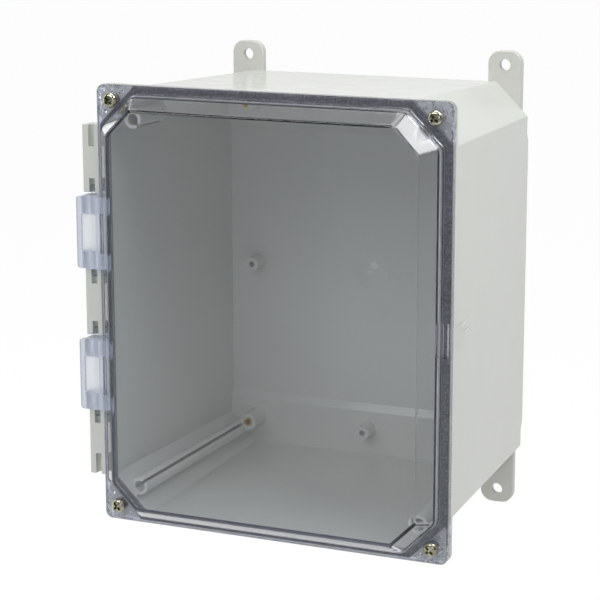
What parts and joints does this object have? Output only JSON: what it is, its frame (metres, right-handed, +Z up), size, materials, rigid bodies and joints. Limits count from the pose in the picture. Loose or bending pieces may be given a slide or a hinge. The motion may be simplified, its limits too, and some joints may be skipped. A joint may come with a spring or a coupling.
{
  "type": "wall mount enclosure",
  "caption": "Moulded wall mount enclosure on screwed-on feet, with a clear domed cover on side hinges, a foam gasket, captive corner screws and bosses for a back panel.",
  "frame": {"origin": "centre of the four wall screw holes, on the wall plane that the feet rest on", "axes": "+X to the right as seen from the front, +Y into the wall, +Z up, so the clear cover faces -Y"},
  "size_m": [0.276, 0.2095, 0.3376],
  "materials": {
    "grey_plastic": "light grey moulded plastic, smooth and fairly glossy",
    "foot_plastic": "light grey moulded plastic, slightly warmer than the box",
    "clear_plastic": "water-clear moulded plastic with a polished surface",
    "foam_rubber": "dark grey closed-cell foam, matte",
    "seal_rubber": "black rubber, matte",
    "nylon": "pale nylon washer",
    "zinc_steel": "zinc or nickel plated steel with a faint warm tone",
    "brass": "turned brass",
    "pin_plastic": "milky bluish white moulded plastic pin"
  },
  "bodies": {
    "base": {"enclosure_body": "grey_plastic", "foot_top_left": "foot_plastic", "foot_top_right": "foot_plastic", "foot_bottom_left": "foot_plastic", "foot_bottom_right": "foot_plastic", "foot_screws": "zinc_steel", "panel_inserts": "brass", "cover_screw_inserts": "brass", "hinge_pin_upper": "pin_plastic", "hinge_pin_lower": "pin_plastic"},
    "cover": {"clear_cover": "clear_plastic", "cover_gasket": "foam_rubber", "hinge_leaf_upper": "clear_plastic", "hinge_leaf_lower": "clear_plastic", "screw_retainers": "nylon"},
    "seal_top_left": {"screw_seal_top_left": "seal_rubber"},
    "screw_top_left": {"cover_screw_top_left": "zinc_steel"},
    "seal_top_right": {"screw_seal_top_right": "seal_rubber"},
    "screw_top_right": {"cover_screw_top_right": "zinc_steel"},
    "seal_bottom_left": {"screw_seal_bottom_left": "seal_rubber"},
    "screw_bottom_left": {"cover_screw_bottom_left": "zinc_steel"},
    "seal_bottom_right": {"screw_seal_bottom_right": "seal_rubber"},
    "screw_bottom_right": {"cover_screw_bottom_right": "zinc_steel"}
  },
  "joints": [
    {"name": "cover_swing", "type": "hinge", "parent": "base", "child": "cover", "pos_m": [-0.1377, -0.18077, 0], "axis": [0, 0, -1], "range_deg": [0, 180]},
    {"name": "screw_travel_top_left", "type": "slide", "parent": "cover", "child": "seal_top_left", "axis": [0, -1, 0], "range_m": [0, 0.0072]},
    {"name": "screw_turn_top_left", "type": "hinge", "parent": "seal_top_left", "child": "screw_top_left", "pos_m": [-0.1177, -0.19, 0.1443], "axis": [0, -1, 0], "range_deg": [0, 3243]},
    {"name": "screw_travel_top_right", "type": "slide", "parent": "cover", "child": "seal_top_right", "axis": [0, -1, 0], "range_m": [0, 0.0072]},
    {"name": "screw_turn_top_right", "type": "hinge", "parent": "seal_top_right", "child": "screw_top_right", "pos_m": [0.1177, -0.19, 0.1443], "axis": [0, -1, 0], "range_deg": [0, 3243]},
    {"name": "screw_travel_bottom_left", "type": "slide", "parent": "cover", "child": "seal_bottom_left", "axis": [0, -1, 0], "range_m": [0, 0.0072]},
    {"name": "screw_turn_bottom_left", "type": "hinge", "parent": "seal_bottom_left", "child": "screw_bottom_left", "pos_m": [-0.1177, -0.19, -0.1443], "axis": [0, -1, 0], "range_deg": [0, 3243]},
    {"name": "screw_travel_bottom_right", "type": "slide", "parent": "cover", "child": "seal_bottom_right", "axis": [0, -1, 0], "range_m": [0, 0.0072]},
    {"name": "screw_turn_bottom_right", "type": "hinge", "parent": "seal_bottom_right", "child": "screw_bottom_right", "pos_m": [0.1177, -0.19, -0.1443], "axis": [0, -1, 0], "range_deg": [0, 3243]}
  ],
  "couplings": [
    {"joint": "screw_turn_top_left", "follows": "screw_travel_top_left", "rad_per_m": 7854},
    {"joint": "screw_turn_top_right", "follows": "screw_travel_top_right", "rad_per_m": 7854},
    {"joint": "screw_turn_bottom_left", "follows": "screw_travel_bottom_left", "rad_per_m": 7854},
    {"joint": "screw_turn_bottom_right", "follows": "screw_travel_bottom_right", "rad_per_m": 7854}
  ]
}
